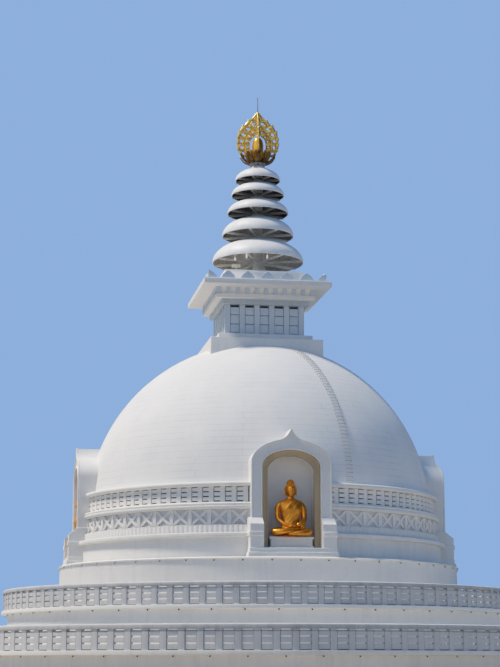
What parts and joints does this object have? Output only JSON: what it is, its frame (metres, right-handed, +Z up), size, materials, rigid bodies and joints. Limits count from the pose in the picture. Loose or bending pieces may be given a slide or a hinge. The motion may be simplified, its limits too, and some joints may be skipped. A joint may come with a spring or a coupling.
{
  "type": "stupa",
  "caption": "White domed stupa on two railed round terraces, with arched niches holding gilded seated figures, a square railing house, stacked parasols and a gilded finial.",
  "frame": {"origin": "on the ground under the dome's axis, at the centre of the lower terrace's base", "axes": "+Z up along the axis; the front niche looks along -Y, +X is to the right of someone facing it"},
  "size_m": [37.48, 37.48, 38],
  "materials": {
    "terrace_render": "matt white lime and cement paint on render, rain stained",
    "railing_paint": "matt white paint on cast concrete",
    "drum_render": "matt white paint on smooth render",
    "dome_render": "matt white paint on render, faint courses",
    "niche_paint": "matt white paint with an ochre arch band",
    "house_paint": "matt white paint on smooth render",
    "parasol_paint": "satin white paint on sheet and cement shells",
    "mast_paint": "grey white paint on steel",
    "gilding": "gilded metal, satin",
    "rod_steel": "galvanised, dull"
  },
  "bodies": {
    "root": {"lower_terrace": "terrace_render", "upper_terrace": "terrace_render", "lower_railing_1": "railing_paint", "upper_railing_1": "railing_paint", "lower_railing_2": "railing_paint", "upper_railing_2": "railing_paint", "lower_railing_3": "railing_paint", "upper_railing_3": "railing_paint", "lower_railing_4": "railing_paint", "upper_railing_4": "railing_paint", "lower_railing_5": "railing_paint", "upper_railing_5": "railing_paint", "lower_railing_6": "railing_paint", "upper_railing_6": "railing_paint", "drum_plinth": "drum_render", "drum_wall": "drum_render", "petal_ledge": "drum_render", "cross_panel_band": "drum_render", "blind_railing_band": "drum_render", "dome_ring": "drum_render", "dome": "dome_render", "niche_front": "niche_paint", "figure_front": "gilding", "niche_right": "niche_paint", "figure_right": "gilding", "niche_back": "niche_paint", "figure_back": "gilding", "niche_left": "niche_paint", "figure_left": "gilding", "harmika_plinth": "house_paint", "harmika_step": "house_paint", "harmika_body": "house_paint", "architrave": "house_paint", "dentil_course": "house_paint", "cornice": "house_paint", "podium": "house_paint", "mast": "mast_paint", "parasol_1": "parasol_paint", "parasol_2": "parasol_paint", "parasol_3": "parasol_paint", "parasol_4": "parasol_paint", "parasol_5": "parasol_paint", "finial_neck": "mast_paint", "lotus_bowl": "gilding", "jewel": "gilding", "flame_vanes": "gilding", "lightning_rod": "rod_steel"}
  },
  "joints": []
}
